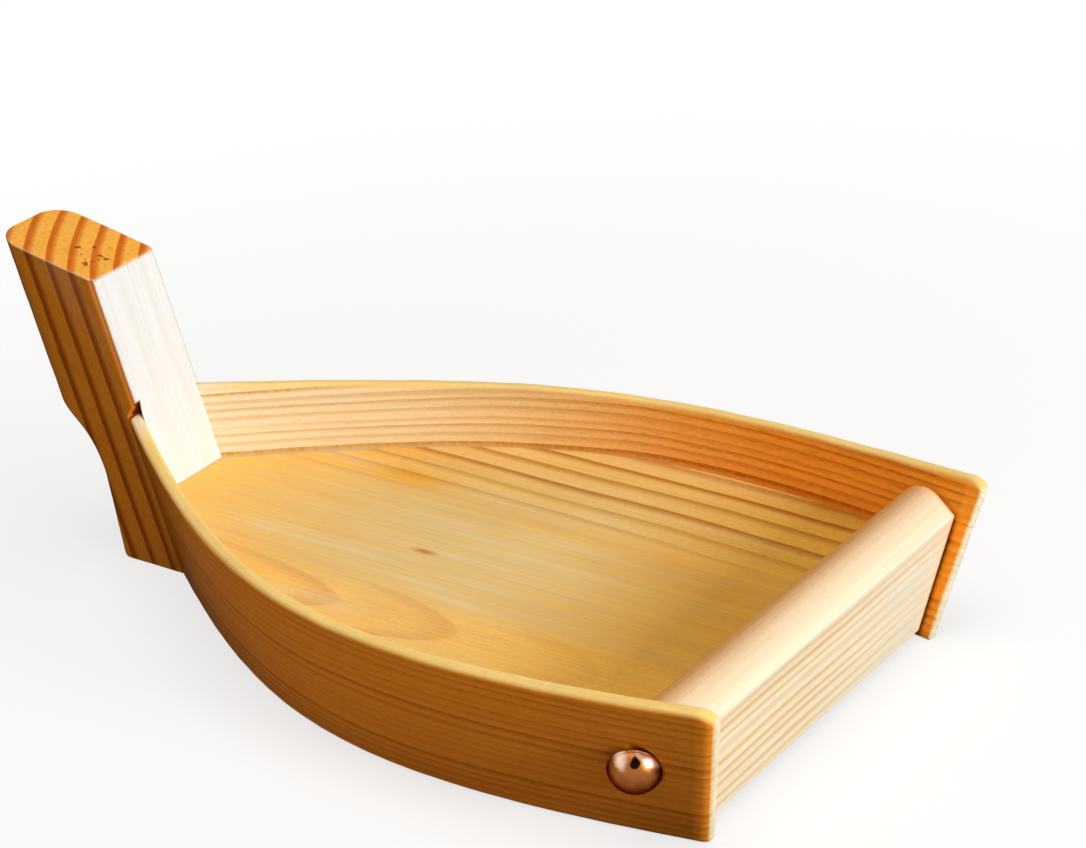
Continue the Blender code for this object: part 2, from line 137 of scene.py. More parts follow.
def skin(name, points, **marks):
    """A closed piece from a grid of hull points, rows along it and columns around it. Points that meet
    are merged, so rows that close up to a line or a point end the piece. Each mark is an array on the
    same grid that the finish reads as an attribute."""
    rows, columns = points.shape[:2]
    flat = points.reshape(-1, 3) + np.array([HULL_X, 0.0, 0.0])
    _, first, index = np.unique(np.round(flat, MERGE_DIGITS), axis=0,
                                return_index=True, return_inverse=True)
    grid = index.reshape(rows, columns)
    after = np.roll(grid, -1, axis=1)
    quads = np.stack([grid[:-1], grid[1:], after[1:], after[:-1]], axis=-1).reshape(-1, 4)
    corner = flat[first][quads]
    cross = np.cross(corner[:, 2] - corner[:, 0], corner[:, 3] - corner[:, 1])
    if np.einsum("ij,ij->", corner.mean(axis=1), cross) < 0:
        quads = quads[:, ::-1]
    kept = quads != np.roll(quads, 1, axis=1)
    whole = quads[kept.all(axis=1)].tolist()
    short = quads[kept.sum(axis=1) == 3]
    corners = short[kept[kept.sum(axis=1) == 3]].reshape(-1, 3).tolist()
    mesh = bpy.data.meshes.new(name)
    mesh.from_pydata(flat[first].tolist(), [], whole + corners)
    for mark, values in marks.items():
        wide = values.ndim == 3
        layer = mesh.attributes.new(mark, "FLOAT_VECTOR" if wide else "FLOAT", "POINT")
        values = values.reshape(len(flat), -1)[first].ravel()
        layer.data.foreach_set("vector" if wide else "value", values)
    mesh.shade_smooth()
    mesh.set_sharp_from_angle(angle=SHARP_ANGLE)
    piece = bpy.data.objects.new(name, mesh)
    bpy.context.scene.collection.objects.link(piece)
    return piece


def slab_loop(face_steps, edge_steps, arc_steps):
    """Once round a rounded rectangle, up the outer face, over the top, down the inner face and back
    below. Returns, for each point, how far it is across and up the straight part (0 to 1) and which way
    it stands off its corner's centre (-1 to 1)."""
    turn = np.linspace(0, pi / 2, arc_steps + 2)[1:-1]
    run = np.linspace(0, 1, face_steps)
    edge = np.linspace(0, 1, edge_steps)
    arc = np.ones_like(turn)
    across = np.concatenate([0 * run, 0 * arc, edge, arc, 1 + 0 * run, arc, 1 - edge, 0 * arc])
    up = np.concatenate([run, arc, 1 + 0 * edge, arc, 1 - run, 0 * arc, 0 * edge, 0 * arc])
    lean = np.concatenate([-1 + 0 * run, -np.cos(turn), 0 * edge, np.sin(turn),
                           1 + 0 * run, np.cos(turn), 0 * edge, -np.sin(turn)])
    lift = np.concatenate([0 * run, np.sin(turn), 1 + 0 * edge, np.cos(turn),
                           0 * run, -np.sin(turn), -1 + 0 * edge, -np.cos(turn)])
    return across, up, lean, lift


def ripple(along, across, reach):
    """A slow hand-planed unevenness between -1 and 1: three crossed sine waves of unlike lengths."""
    a, b = along / reach, across / reach
    long_wave = np.sin(2.1 * a + 0.8 * b)
    short_waves = np.sin(5.3 * a - 2.7 * b + 1.3) + np.sin(9.7 * a + 6.1 * b + 4.1)
    return (long_wave + short_waves) / 3


def ramp(value, start, stop):
    """0 at the start and 1 at the stop, straight between and level beyond them."""
    return np.clip((value - start) / (stop - start), 0, 1)


def smooth(share):
    """The ramp from 0 to 1 with its two corners eased."""
    return share**2 * (3 - 2 * share)


def bell(value, centre, width):
    """1 at the centre, falling off on both sides as a bell curve."""
    return np.exp(-(((value - centre) / width) ** 2))


PLANK_ARRIS = 0.0014
BOW_END_EASE = 0.0005
STERN_END_EASE = 0.0007
STERN_OUTER_EASE = 0.0022
BOW_CORNER_RADIUS = 0.0022
NAIL_HEIGHT = 0.0254
NAIL_FORWARD = 0.0050
NAIL_HEAD_DIAMETER = 0.0150
TRANSOM_RAKE = radians(12.5)
TRANSOM_THICKNESS = 0.020
TRANSOM_INSET = 0.0050
NAIL_LEAN = {-1: radians(20), 1: radians(5)}
NAIL_LEAN_AFT = 0.996
NAIL_LEAN_UP = 0.087
NAIL_STAND = 0.0008
DENT_DEPTH = 0.0002
DENT_WIDTH = 0.0024
STERN_U_PER_METRE = 1 / (3 * TOE_IN_FULLNESS)
BOW_U_PER_METRE = 3.0
BOW_ROWS_REACH = 0.006
NAIL_ROWS_REACH = 0.013
RIM_WAVE = 0.00012
RIM_WAVE_REACH = 0.03
FACE_WAVE = 0.00006
FACE_WAVE_REACH = 0.02
# The saw's marks on the stern end: pitch up the end, sway and its pitch, and slope through the end.
SAW_WAVES = ((4700, 6, 330, 0), (900, 4, 1900, 0), (7300, 5, 610, 900))
SAW_DEPTH = 0.00002
TEAR_DEPTH = {-1: 0.00003, 1: 0.00013}
# Where the tones begin and are full, below the rim, from the bow, from the stern end and by height.
RIM_BAND = (0.0006, 0.0020)
OUTER_BAND = (0.0001, 0.0009)
BOW_TIP_RUN = (0.012, 0.002)
BOW_LIGHT_RUN = (0.14, 0.0)
INSIDE_SHADE_RUN = (0.03, 0.19)
STERN_LIGHT_RUN = (0.0045, 0.0015)
DARK_BAND_TOP = (0.0385, 0.0365)
ASTERN_FADE = 0.001
DARK_BAND_INSET = 0.0004
DARK_BAND_WIDTH = 0.0010


def transom_place(z):
    """X of the transom's aft face at height z: it leans aft, set in from the planks' stern ends."""
    stern_foot = plank_point(1 - STERN_END_RUN * STERN_U_PER_METRE, 0.0, 0.0)[0]
    return stern_foot - TRANSOM_INSET + z * tan(TRANSOM_RAKE)


NAIL_X = transom_place(NAIL_HEIGHT) - TRANSOM_THICKNESS / cos(TRANSOM_RAKE) / 2 - NAIL_FORWARD
NAIL_U = plank_u(NAIL_X, NAIL_HEIGHT, 0.0)


def plank(name, side):
    """The plank's rounded section carried along its length. At each end the section draws in round the
    end's arrises and then closes up to a line across the end grain. The top is lowered in a quarter
    round at each end. At the stern the outer arris is sanded rounder, the saw has torn the end's inner
    arris, and the leaning nail head has pressed a dish into the outer face. The marks paint shade on
    the outside, as the deeper tone and as a darkening to its ends and foot that painted light lifts
    near the stern end. On the inside they paint light towards the bow and shade towards the stern,
    lightened again at its far aft part and aft of the transom. They leave the rim and its bow tip
    paler and darken a band on the starboard inside along the transom's end."""
    curve = np.stack(plan_curve(np.linspace(0, 1, 400))[:2], axis=-1)
    length = np.linalg.norm(np.diff(curve, axis=0), axis=1).sum()
    nail_reach = length * float(NAIL_U)
    turn = np.linspace(0, pi / 2, 9)
    close = np.linspace(0, 1, 6)[1:]
    body = np.concatenate([
        np.linspace(BOW_END_EASE, BOW_ROWS_REACH, 16)[1:],
        np.linspace(BOW_ROWS_REACH, nail_reach - NAIL_ROWS_REACH, 130)[1:],
        np.linspace(nail_reach - NAIL_ROWS_REACH, nail_reach + NAIL_ROWS_REACH, 66)[1:],
        np.linspace(nail_reach + NAIL_ROWS_REACH, length - STERN_CORNER_RADIUS, 24)[1:],
        length - STERN_CORNER_RADIUS + (STERN_CORNER_RADIUS - STERN_END_EASE) * np.sin(turn[1:-1]),
    ])
    half = PLANK_THICKNESS / 2
    bow_in, bow_draw = BOW_END_EASE * (1 - np.sin(turn)), BOW_END_EASE * (1 - np.cos(turn))
    stern_in, stern_draw = STERN_END_EASE * (1 - np.sin(turn)), STERN_END_EASE * (1 - np.cos(turn))
    bow_close = BOW_END_EASE + (half - BOW_END_EASE) * close
    stern_close = STERN_END_EASE + (half - STERN_END_EASE) * close
    rounding = np.sin(turn)
    reach = np.concatenate([0 * close, bow_in[::-1], body, length - stern_in, length + 0 * close])
    shrink = np.concatenate([bow_close[::-1], bow_draw[::-1], 0 * body, stern_draw, stern_close])
    end = np.concatenate([1 + 0 * close, rounding[::-1], 0 * body, rounding, 1 + 0 * close])
    reach, shrink, end = reach[:, None], shrink[:, None], end[:, None]

    share = reach / length
    across, up, lean, lift = slab_loop(130, 4, 5)
    height = sheer(plan_curve(share)[0])
    for radius, away in ((STERN_CORNER_RADIUS, length - reach), (BOW_CORNER_RADIUS, reach)):
        past = np.clip(radius - away, 0, radius)
        height = height - radius + np.sqrt(radius**2 - past**2)
    height = height + RIM_WAVE * ripple(reach, 0 * reach, RIM_WAVE_REACH)
    corner = np.maximum(PLANK_ARRIS - shrink, 0)
    near = shrink + corner
    inset = near + across * (PLANK_THICKNESS - 2 * near) + lean * corner
    past = np.clip(STERN_OUTER_EASE - length + reach, 0, STERN_OUTER_EASE)
    sanded = STERN_OUTER_EASE - np.sqrt(STERN_OUTER_EASE**2 - past**2)
    inset = inset + sanded * (1 - inset / PLANK_THICKNESS)
    rise = near + up * (height - 2 * near) + lift * corner
    inner = np.clip(2 * inset / PLANK_THICKNESS - 1, 0, 1)
    outer = np.clip(1 - 2 * inset / PLANK_THICKNESS, 0, 1)

    flare = flare_at(plan_curve(share)[0])
    level = rise - inset * np.sin(flare) * (1 - rise / height)
    bow_u = np.zeros_like(level)
    for _ in range(6):
        x, y, z = plank_point(bow_u, level, inset)
        past_slot = x - (SHEER_BOW - z) * RAKE + (SLOT_DEPTH - GLUE_GAP) / cos(STEM_RAKE)
        bow_u = bow_u - past_slot * BOW_U_PER_METRE
    saw = sum(np.sin(pitch * rise + sway * np.sin(swing * rise) - slope * inset)
              for pitch, sway, swing, slope in SAW_WAVES)
    tear = SAW_DEPTH * (saw + len(SAW_WAVES)) + TEAR_DEPTH[side] * np.maximum(saw, 0) * inner
    stern_u = 1 - STERN_U_PER_METRE * (STERN_END_RUN * (1 - level / SHEER_STERN) + tear)
    u = bow_u + (stern_u - bow_u) * share

    nail_aft = reach - nail_reach
    nail_up = (level - NAIL_HEIGHT) / np.cos(flare)
    past_head = ramp(np.hypot(nail_aft, nail_up) - NAIL_HEAD_DIAMETER / 2, 0, DENT_WIDTH)
    slant = tan(NAIL_LEAN[side])
    sunk = DENT_DEPTH - slant * NAIL_STAND / tan(NAIL_LEAN[-1])
    sunk = sunk + slant * (NAIL_LEAN_AFT * nail_aft + NAIL_LEAN_UP * nail_up)
    dish = np.maximum(sunk, 0) * (1 - smooth(past_head))
    wobble = FACE_WAVE * ripple(reach, rise, FACE_WAVE_REACH)
    x, y, z = plank_point(u, level, inset + outer * dish + wobble)
    points = np.stack([x, side * y, np.maximum(z, 0)], axis=-1)
    grain = np.stack([reach + 0 * rise, rise, inset], axis=-1)

    below_top = ramp(height - rise, *RIM_BAND)
    inside = below_top * inner
    outside = ramp(height - rise, *OUTER_BAND) * np.clip(outer * 1.6, 0, 1)
    past_transom = x - transom_place(z)
    astern = ramp(past_transom, 0, ASTERN_FADE) * inside
    dark_band = bell(past_transom, -DARK_BAND_INSET, DARK_BAND_WIDTH) * inner * (side > 0)
    bow_tip = (1 - below_top) * ramp(x, *BOW_TIP_RUN)
    aft = ramp(x, *INSIDE_SHADE_RUN)
    bare = 1 - below_top + 0.40 * outside + 0.45 * astern
    # Cream on the inside towards the bow is painted light; the rim's bow tip is paler too.
    cream = 0.95 * inside * ramp(x, *BOW_LIGHT_RUN) + 0.7 * bow_tip
    # The deeper tone is painted shade, in full on the outside and growing aft on the inside.
    aged = 0.10 + 0.90 * outside + inside * (0.95 * smooth(aft) - 0.05)
    # Painted shade on the outside: darker to the ends and the foot and lighter along the middle, less
    # near the stern end by painted light. The inside's far aft part is lightened by painted light, and
    # the strip aft of the transom is lightened too.
    to_ends = 1 - 4 * share * (1 - share)
    low = 1 - rise / height
    deep = 1.2 * to_ends + 0.9 * (1 - share) ** 2 + 0.5 * low * (1 + share**4) - 0.9
    deep = np.clip(deep, -0.5, 1.3)
    painted_light = ramp(length - reach, *STERN_LIGHT_RUN)
    dim = outside * (deep - 0.9 * painted_light) - 0.35 * inside * aft**3 - 0.4 * astern
    # A dark band on the starboard plank's inside, along the transom's end.
    dim = dim + 1.8 * dark_band * ramp(z, *DARK_BAND_TOP)
    return skin(name, points, grain=grain, end=end + 0 * rise, aged=aged * (1 - end), bare=bare,
                cream=cream * (1 - end), dim=dim * (1 - end))


class Shade:
    """A socket in a material. Arithmetic on it adds Math nodes, and add() makes any other node."""

    def __init__(self, tree, socket=None):
        self.tree = tree
        self.socket = socket

    def add(self, kind, settings, sockets, output=0):
        """A node of a type, with its settings put in first and then its sockets' values or links."""
        node = self.tree.nodes.new("ShaderNode" + kind)
        for key, value in settings.items():
            setattr(node, key, value)
        for key, value in sockets.items():
            if isinstance(value, Shade):
                self.tree.links.new(value.socket, node.inputs[key])
            else:
                node.inputs[key].default_value = value
        return Shade(self.tree, node.outputs[output])

    def math(self, operation, *values):
        return self.add("Math", {"operation": operation}, dict(enumerate(values)))

    def __add__(self, other):
        return self.math("ADD", self, other)

    __radd__ = __add__

    def __sub__(self, other):
        return self.math("SUBTRACT", self, other)

    def __rsub__(self, other):
        return self.math("SUBTRACT", other, self)

    def __mul__(self, other):
        return self.math("MULTIPLY", self, other)

    __rmul__ = __mul__

    def __truediv__(self, other):
        return self.math("DIVIDE", self, other)

    def __pow__(self, other):
        return self.math("POWER", self, other)

    def rise(self, low, high):
        """A smooth step from 0 at low to 1 at high."""
        return self.add("MapRange", {"interpolation_type": "SMOOTHSTEP"},
                        {"Value": self, "From Min": low, "From Max": high})

    def blend(self, start, stop):
        """A colour from start to stop, with this value as the share of stop."""
        return self.add("Mix", {"data_type": "RGBA"}, {0: self, 6: start, 7: stop}, 2)

    def tint(self, colour):
        """A colour made lighter or darker by this value."""
        return self.add("VectorMath", {"operation": "SCALE"}, {"Vector": colour, "Scale": self})

    def stretch(self, amounts):
        """A vector with each of its three numbers scaled."""
        return self.add("VectorMath", {"operation": "MULTIPLY"}, {0: self, 1: amounts})

    def limit(self):
        """This value held between 0 and 1."""
        return self.add("Clamp", {}, {"Value": self})

    def noise(self, detail=2.0, rough=0.5):
        """Smooth noise about 0 at this vector."""
        sockets = {"Vector": self, "Scale": 1.0, "Detail": detail, "Roughness": rough}
        return self.add("TexNoise", {}, sockets) - 0.5


def new_finish(name):
    """An empty material and its Principled shader."""
    material = bpy.data.materials.new(name)
    material.use_nodes = True
    return material, Shade(material.node_tree), material.node_tree.nodes["Principled BSDF"]


def connect(shade, shader, socket):
    shade.tree.links.new(shade.socket, shader.inputs[socket])


def linear(red, green, blue):
    """A screen colour of 0 to 255 as the shader's linear colour."""
    share = np.array([red, green, blue]) / 255
    return (*np.where(share < 0.04045, share / 12.92, ((share + 0.055) / 1.055) ** 2.4), 1.0)


CREAM = linear(251, 245, 222)
PIT_TONE = linear(128, 46, 10)
KNOT_SIZE = (0.0046, 0.0014)

# How often in a metre each kind of mark comes along, across and through the grain.
RING_SWAY = (9.0, 26.0, 26.0)
RING_TREMOR = (34.0, 90.0, 90.0)
BEADS = (900.0, 90.0, 90.0)
FIBRES = (16.0, 1300.0, 1300.0)
STREAKS = (5.0, 240.0, 240.0)
PATCHES = (12.0, 30.0, 30.0)
FIGURE = (13.0, 120.0, 120.0)
FLECKS = (90.0, 1500.0, 1500.0)
PORES = (520.0, 1500.0, 1500.0)
MOTTLE = (700.0, 700.0, 700.0)
PITS = (260.0, 340.0, 340.0)


def pine(name, pale, dark, end_tones, aged_tones, pith, spacing, lean=0.0, wander=0.004, uneven=0.5,
         late=(0.45, 0.92), weights=(0.45, 1.0), flat=0.0, widen=0.0, figured=0.2, beaded=0.0,
         ghost=0.0, knot=None):
    """Clear-lacquered softwood cut from a log. Year rings are cylinders round the pith, which may lean
    along the board, set off by a slow wander; in each, pale wood darkens to a late line and ends
    sharply. The lines' weights differ, and they are softer where the saw ran along the rings. Rings may
    widen outwards. A figured board has long streaks of deeper and creamier wood. Fibres and pores are
    noise drawn out along the grain, and a planer's faint marks across it bead the lines. End grain and
    creamy parts take their own tones. The deeper tone is both the wood's own and painted shade on faces
    that the lamps leave dark. The painted shade mark darkens further, and where it is negative it
    lightens as painted light. Bare parts show their rings faintly or as pale ghosts, and worn end grain
    is pitted. A pin knot is a small brown streak."""
    material, start, shader = new_finish(name)
    grain = start.add("Attribute", {"attribute_name": "grain"}, {}, 1)
    along, across, through = [start.add("SeparateXYZ", {}, {0: grain}, axis) for axis in range(3)]
    end, aged, bare, cream, worn, dim = [
        start.add("Attribute", {"attribute_name": mark}, {}, 2)
        for mark in ("end", "aged", "bare", "cream", "worn", "dim")]

    slow = grain.stretch(RING_SWAY).noise(1.0)
    quick = grain.stretch(RING_TREMOR).noise(2.0)
    side = across - pith[0]
    depth = through - pith[1] + along * lean
    radius = (side * side + depth * depth) ** 0.5
    sliced = depth * depth / (radius * radius)
    count = (radius + slow * wander + quick * (wander * 0.15)) / (radius * (widen * spacing) + spacing)
    drift = count.add("TexNoise", {"noise_dimensions": "1D"},
                      {"W": count * 0.37, "Scale": 1.0, "Detail": 1.0})
    count = count + drift * uneven
    year = count.math("FLOOR", count)
    part = count - year
    weight = year.add("TexWhiteNoise", {"noise_dimensions": "1D"}, {"W": year})
    weight = weights[0] + (weights[1] - weights[0]) * weight
    line = part.rise(*late) * (1 - part.rise(0.94, 1.0)) * weight
    bead = grain.stretch(BEADS).noise(1.0) * beaded
    line = line * (1 - sliced * flat) * (1 + bead * 2.0)
    pale_line = line * bare * ghost
    line = line * (1 - 0.85 * bare)

    fibre = grain.stretch(FIBRES).noise(3.0, 0.65)
    streak = grain.stretch(STREAKS).noise(2.0)
    patch = grain.stretch(PATCHES).noise(1.0)
    figure = grain.stretch(FIGURE).noise(2.0)
    fleck = grain.stretch(FLECKS).noise(1.0).rise(0.14, 0.24) * (0.25 + 0.75 * aged) * (1 - bare)
    pore = grain.stretch(PORES).noise(2.0) * (0.12 + 0.34 * aged) * (1 - 0.5 * bare)
    mottle = grain.stretch(MOTTLE).noise(2.0) * end
    pit = (grain.stretch(PITS).noise(1.0) + worn * 0.30).rise(0.27, 0.36) * end

    colour = (line + streak * 0.45).limit().blend(pale, dark)
    colour = (cream * (1 - line * 0.95)).blend(colour, CREAM)
    colour = pale_line.blend(colour, CREAM)
    colour = (figure.rise(0.02, 0.28) * figured).blend(colour, aged_tones[0])
    colour = (figure.rise(-0.02, -0.28) * figured).blend(colour, CREAM)
    # The deeper tone, laid on both as the wood's own tone and as painted shade.
    colour = aged.blend(colour, line.blend(*aged_tones))
    colour = (patch.rise(0.0, 0.3) * 0.20).blend(colour, dark)
    colour = end.blend(colour, (line**0.6).blend(*end_tones))
    colour = (pit * 0.8).blend(colour, PIT_TONE)
    if knot:
        knot_along = (along - knot[0]) / KNOT_SIZE[0]
        knot_across = (across - knot[1]) / KNOT_SIZE[1]
        away = (knot_along**2.0 + knot_across**2.0) ** 0.5
        colour = ((1 - away.rise(0.0, 1.5)) * 0.75).blend(colour, aged_tones[1])
    tone = 1 + fibre * 0.34 + streak * 0.18 + patch * 0.16 + bead * 0.3 + pore + mottle * 0.45
    # Painted shade darkens the colour; where the mark is negative it lightens it as painted light.
    colour = ((tone - fleck * 0.25) * (1 - dim * 0.4)).tint(colour)
    connect(colour, shader, "Base Color")

    connect(0.46 + fibre * 0.25 - line * 0.06 + end * 0.15, shader, "Roughness")
    connect(0.14 - aged * 0.11, shader, "Coat Weight")
    height = fibre * 0.5 - line * 0.35 + streak * 0.3 + bead * 0.5 + mottle * 0.3 - pit * 0.6
    bump = height.add("Bump", {}, {"Height": height, "Strength": 0.35, "Distance": 0.00025})
    connect(bump, shader, "Normal")
    shader.inputs["Coat Roughness"].default_value = 0.25
    shader.inputs["Specular IOR Level"].default_value = 0.0
    return material


def dress(piece, material, node):
    """Give a piece its finish and set it in the place of its solid."""
    piece.data.materials.append(material)
    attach(piece, "root")
    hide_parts(node)


PLANK_PALE = linear(254, 222, 140)
PLANK_LINE = linear(216, 162, 52)
# The end tones are near white so that the stern ends read as lit: painted light.
PLANK_END_PAINTED_LIGHT = (linear(255, 246, 222), linear(250, 226, 178))
# The deeper tones: painted shade on the planks' outside and inside aft, and their faint figure.
PLANK_SHADE_AND_DEEP = (linear(255, 157, 48), linear(188, 97, 24))
plank_pine = pine("plank_pine", PLANK_PALE, PLANK_LINE, PLANK_END_PAINTED_LIGHT, PLANK_SHADE_AND_DEEP,
                  pith=(-0.085, 0.030), spacing=0.0027, wander=0.0026, uneven=0.9, late=(0.26, 0.82),
                  weights=(0.25, 1.0), figured=0.08, beaded=0.35)
for plank_side, plank_name in ((-1, "port_plank"), (1, "starboard_plank")):
    dress(plank(plank_name + "_wood", plank_side), plank_pine, plank_name)

# The stem post.
# One upright of the same softwood, round in front and square behind, leaning forwards. Its top is sawn
# sloping, a hollow is band-sawn over its foot, and a slot in each aft arris holds a plank's end.
STEM_DEPTH = 0.0387
STEM_HEIGHT = 0.0970
STEM_TOP_SLOPE = radians(11.3)
NOSE_RADIUS = 0.0090
STEM_AFT_EASE = 0.0025
FOOT_LENGTH = 0.0292
FOOT_EASE = 0.0022
SCOOP_TOP = 0.0530
SCOOP_SHELF_ANGLE = radians(64)
SCOOP_LEAN = radians(6)
SCOOP_RADIUS = 0.030
SLOT_RUN_OUT = {-1: radians(54), 1: radians(6)}
RUN_OUT_SPREAD = 1.35
STEM_ARRIS = 0.0007
SCOOP_ARRIS = 0.0005
STEM_WAVE = 0.00008
STEM_WAVE_REACH = 0.018
STEM_WAVE_FADE = 0.004
AFT_FACE_BAND = (-0.00075, -0.00035)
TOP_WORN_PLACE = (-0.009, -0.003)
TOP_WORN_REACH = 0.011


def scoop_front(z):
    """X of the sawn hollow at height z: a nearly upright line up from the foot, then an arc, then a
    shelf that slopes out to the stem's front. The foot's front arris is rounded off."""
    foot_front = SHEER_BOW * RAKE - FOOT_LENGTH
    shelf_front = (SHEER_BOW - SCOOP_TOP) * RAKE - STEM_DEPTH
    shelf_rise = 1 / tan(SCOOP_SHELF_ANGLE)
    upright = tan(SCOOP_LEAN)
    corner_z = (SCOOP_TOP - (foot_front - shelf_front) * shelf_rise) / (1 - upright * shelf_rise)
    corner_x = foot_front - corner_z * upright
    half_turn = (SCOOP_SHELF_ANGLE - SCOOP_LEAN) / 2
    middle = (SCOOP_SHELF_ANGLE + SCOOP_LEAN) / 2
    centre_x = corner_x - SCOOP_RADIUS / cos(half_turn) * cos(middle)
    centre_z = corner_z - SCOOP_RADIUS / cos(half_turn) * sin(middle)
    tangent = SCOOP_RADIUS * tan(half_turn)
    low = corner_z - tangent * cos(SCOOP_LEAN)
    high = corner_z + tangent * cos(SCOOP_SHELF_ANGLE)
    arc = centre_x + np.sqrt(np.maximum(SCOOP_RADIUS**2 - (z - centre_z) ** 2, 0))
    line = np.where(z < low, foot_front - z * upright, shelf_front + (SCOOP_TOP - z) / shelf_rise)
    front = np.where((z > low) & (z < high), arc, line)
    under = np.clip(FOOT_EASE - z, 0, FOOT_EASE)
    return front + FOOT_EASE - np.sqrt(FOOT_EASE**2 - under**2)


def stem_half(shrink):
    """Half of the stem's section from the middle of its nose round to the middle of its aft face, drawn
    in by the shrink: distance behind the aft face and distance to the side. Two columns stand at the
    slot's shoulder, so that its wall is sharp."""
    shoulder = -SLOT_DEPTH / cos(STEM_RAKE)
    half = STEM_WIDTH / 2 - shrink
    nose = NOSE_RADIUS - shrink * NOSE_RADIUS / (STEM_WIDTH / 2)
    tail = np.maximum(STEM_AFT_EASE - shrink, 0)
    turn = np.linspace(0, pi / 2, 15)
    front = np.linspace(0, 1, 9)[:-1]
    side_fore = np.linspace(0, 1, 30)[1:]
    side_aft = np.linspace(0, 1, 8)
    tail_turn = np.linspace(0, pi / 2, 7)[1:]
    back = np.linspace(1, 0, 13)[1:]
    fore = -STEM_DEPTH + shrink
    aft = -shrink
    split = np.clip(shoulder, fore + nose, aft - tail)
    behind = np.concatenate([
        fore + 0 * front * shrink,
        fore + nose * (1 - np.cos(turn)),
        fore + nose + (split - fore - nose) * side_fore,
        split + (aft - tail - split) * side_aft,
        aft - tail * (1 - np.sin(tail_turn)),
        aft + 0 * back * shrink,
    ], axis=1)
    beside = np.concatenate([
        (half - nose) * front,
        half - nose * (1 - np.sin(turn)),
        half + 0 * side_fore * shrink,
        half + 0 * side_aft * shrink,
        half - tail * (1 - np.cos(tail_turn)),
        (half - tail) * back,
    ], axis=1)
    slotted = np.concatenate([0 * front, 0 * turn, 0 * side_fore, 1 + 0 * side_aft, 1 + 0 * tail_turn,
                              1 + 0 * back])
    return behind, beside, slotted


def stem(name):
    """The stem's section carried up along its rake between the flat base and the sloping top, with rows
    that follow the slots' run-out, which is long on the port side. Where the hollow lies behind the
    section's front the front is moved back to it, and below the run-out the section's sides are moved
    in to the planks' inner faces. The marks paint the aft face near white as painted light, give the
    sides and nose the deeper tone as painted shade, and wear the top."""
    turn = np.linspace(0, pi / 2, 6)
    close = np.linspace(STEM_ARRIS, STEM_WIDTH / 2, 9)[1:]
    draw = STEM_ARRIS * (1 - np.cos(turn))
    ease = STEM_ARRIS * (1 - np.sin(turn))
    low = np.linspace(0, 1, 110)[1:]
    high = np.linspace(0, 1, 70)[:-1]
    caps = (0 * close, 0 * turn)
    shrink = np.concatenate([close[::-1], draw[::-1], 0 * low, 0 * high, draw, close])[:, None]
    lower = np.concatenate([*caps, low, 1 + 0 * high, 1 + 0 * turn, 1 + 0 * close])[:, None]
    upper = np.concatenate([*caps, 0 * low, high, 1 + 0 * turn, 1 + 0 * close])[:, None]
    foot = np.concatenate([0 * close, ease[::-1], 0 * low, 0 * high, 0 * turn, 0 * close])[:, None]
    crown = np.concatenate([*caps, 0 * low, 0 * high, ease, 0 * close])[:, None]
    in_slot = np.concatenate([1 + 0 * close, 1 + 0 * turn, 1 + 0 * low, 0 * high, *caps])[:, None]
    end = np.concatenate([1 + 0 * close, np.sin(turn)[::-1], 0 * low, 0 * high, np.sin(turn),
                          1 + 0 * close])[:, None]

    behind, beside, slotted = stem_half(shrink)
    slope = tan(STEM_TOP_SLOPE)
    aft_top = (SHEER_BOW - STEM_HEIGHT) * RAKE
    top = (STEM_HEIGHT + slope * (aft_top - behind - SHEER_BOW * RAKE)) / (1 - slope * RAKE)
    shoulder = -SLOT_DEPTH / cos(STEM_RAKE)
    tip = sheer(-SLOT_DEPTH) + PLANK_THICKNESS * sin(FLARE_BOW) + GLUE_GAP
    run = np.maximum(behind, shoulder) + SHEER_BOW * RAKE + SLOT_DEPTH
    splits = {side: (tip + run * tan(angle)) / (1 + RAKE * tan(angle))
              for side, angle in SLOT_RUN_OUT.items()}
    middle = (splits[1] + splits[-1]) / 2
    sideways = np.clip(RUN_OUT_SPREAD * beside / (STEM_WIDTH / 2), 0, 1)

    halves = {}
    for side, split in splits.items():
        split = middle + (split - middle) * sideways
        z = foot + (split - foot) * lower + (top - split) * upper - crown
        x = behind + (SHEER_BOW - z) * RAKE
        bed_x = np.maximum(x, shoulder + (SHEER_BOW - z) * RAKE)
        bed = inner_width(bed_x, np.minimum(z, tip), GLUE_GAP / 2)
        y = np.where(in_slot * slotted > 0, np.minimum(beside, bed), beside)
        front = scoop_front(z)
        nearer = np.clip(0.5 + (x - front) / SCOOP_ARRIS / 2, 0, 1)
        x = front + (x - front) * nearer + SCOOP_ARRIS * nearer * (1 - nearer)
        y = y + STEM_WAVE * ripple(z, behind, STEM_WAVE_REACH) * ramp(beside, 0, STEM_WAVE_FADE)
        halves[side] = np.stack([x, side * y, np.maximum(z, 0)], axis=-1)

    def round_trip(starboard, port):
        return np.concatenate([starboard, port[:, -2:0:-1]], axis=1)

    points = round_trip(halves[1], halves[-1])
    depth = round_trip(behind, behind)
    y, z = points[..., 1], points[..., 2]
    grain = np.stack([z / cos(STEM_RAKE), depth * cos(STEM_RAKE), y], axis=-1)
    aft_face = ramp(depth, *AFT_FACE_BAND) * (1 - end)
    end = end + 0 * depth
    off_wear_and_highlight = np.hypot(depth - TOP_WORN_PLACE[0], y - TOP_WORN_PLACE[1])
    return skin(name, points, grain=grain, end=end, bare=aft_face, aged=(1 - aft_face) * (1 - end),
                worn=ramp(off_wear_and_highlight, TOP_WORN_REACH, 0))


